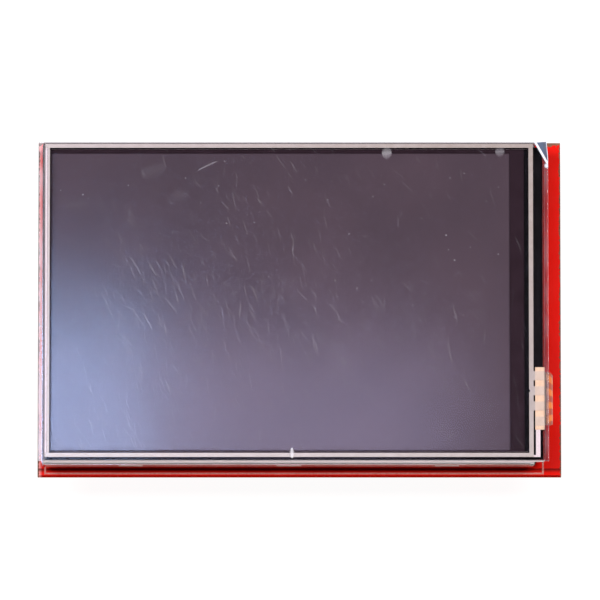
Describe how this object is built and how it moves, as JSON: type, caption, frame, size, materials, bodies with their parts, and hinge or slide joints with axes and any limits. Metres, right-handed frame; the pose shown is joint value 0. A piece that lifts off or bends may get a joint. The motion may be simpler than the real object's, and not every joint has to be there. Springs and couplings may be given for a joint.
{
  "type": "tft display module",
  "caption": "Colour TFT panel with resistive touch glued to a red board that plugs into a microcontroller board.",
  "frame": {"origin": "under the middle of the board, on the plane of the header pin tips", "axes": "+X along the board towards the flex and the card socket, +Y across it, +Z out through the display face"},
  "size_m": [0.0856, 0.056, 0.0164],
  "materials": {
    "cover_film": "clear PET film, finely scratched",
    "touch_film": "clear hard coated PET film",
    "silver_ink": "printed silver ink, matt",
    "clear_adhesive": "clear printed adhesive",
    "touch_glass": "clear float glass",
    "polyimide": "orange polyimide over copper",
    "solder": "bright tin solder",
    "black_tape": "black polyester tape",
    "polarizer": "dark polarizing film",
    "cell_glass": "dark display glass",
    "silicon": "bare silicon, polished",
    "optical_film": "clear prism film",
    "white_film": "white PET film",
    "acrylic": "clear moulded acrylic",
    "lamp_phosphor": "yellow phosphor in white housings",
    "white_frame": "white moulded polycarbonate",
    "stainless": "bright cold rolled stainless sheet",
    "foam": "white double sided foam tape",
    "board_red": "red solder mask on glass fibre board",
    "white_print": "white printed lines",
    "header_black": "black moulded polyester",
    "gold_pins": "gold plated",
    "socket_steel": "tin plated steel",
    "chip_black": "black epoxy, fine matt",
    "tinned_leads": "tin plated copper",
    "resistor_black": "black glazed",
    "capacitor_brown": "tan fired ceramic"
  },
  "bodies": {
    "root": {"protective_film": "cover_film", "touch_film": "touch_film", "film_silver_tracks": "silver_ink", "touch_spacer_frame": "clear_adhesive", "glass_silver_tracks": "silver_ink", "touch_glass": "touch_glass", "touch_flex": "polyimide", "touch_flex_fingers": "silver_ink", "touch_flex_solder": "solder", "touch_mounting_tape": "black_tape", "front_polarizer": "polarizer", "colour_filter_glass": "cell_glass", "tft_glass": "cell_glass", "rear_polarizer": "polarizer", "driver_chip": "silicon", "ledge_tape": "black_tape", "display_flex": "polyimide", "display_flex_solder": "solder", "rim_tape": "black_tape", "upper_prism_sheet": "optical_film", "lower_prism_sheet": "optical_film", "diffuser_sheet": "white_film", "light_guide": "acrylic", "reflector_sheet": "white_film", "backlight_leds": "lamp_phosphor", "led_flex": "white_film", "backlight_frame": "white_frame", "rear_can": "stainless", "foam_tape": "foam", "circuit_board": "board_red", "board_silkscreen": "white_print", "digital_low_strip": "header_black", "digital_low_pins": "gold_pins", "digital_high_strip": "header_black", "digital_high_pins": "gold_pins", "power_strip": "header_black", "power_pins": "gold_pins", "analog_strip": "header_black", "analog_pins": "gold_pins", "header_solder": "solder", "card_socket_shell": "socket_steel", "card_socket_base": "header_black", "card_socket_contacts": "gold_pins", "level_shifter_bodies": "chip_black", "level_shifter_leads": "tinned_leads", "regulator_body": "chip_black", "regulator_leads": "tinned_leads", "resistor_bodies": "resistor_black", "resistor_ends": "tinned_leads", "capacitor_bodies": "capacitor_brown", "capacitor_ends": "tinned_leads"}
  },
  "joints": []
}
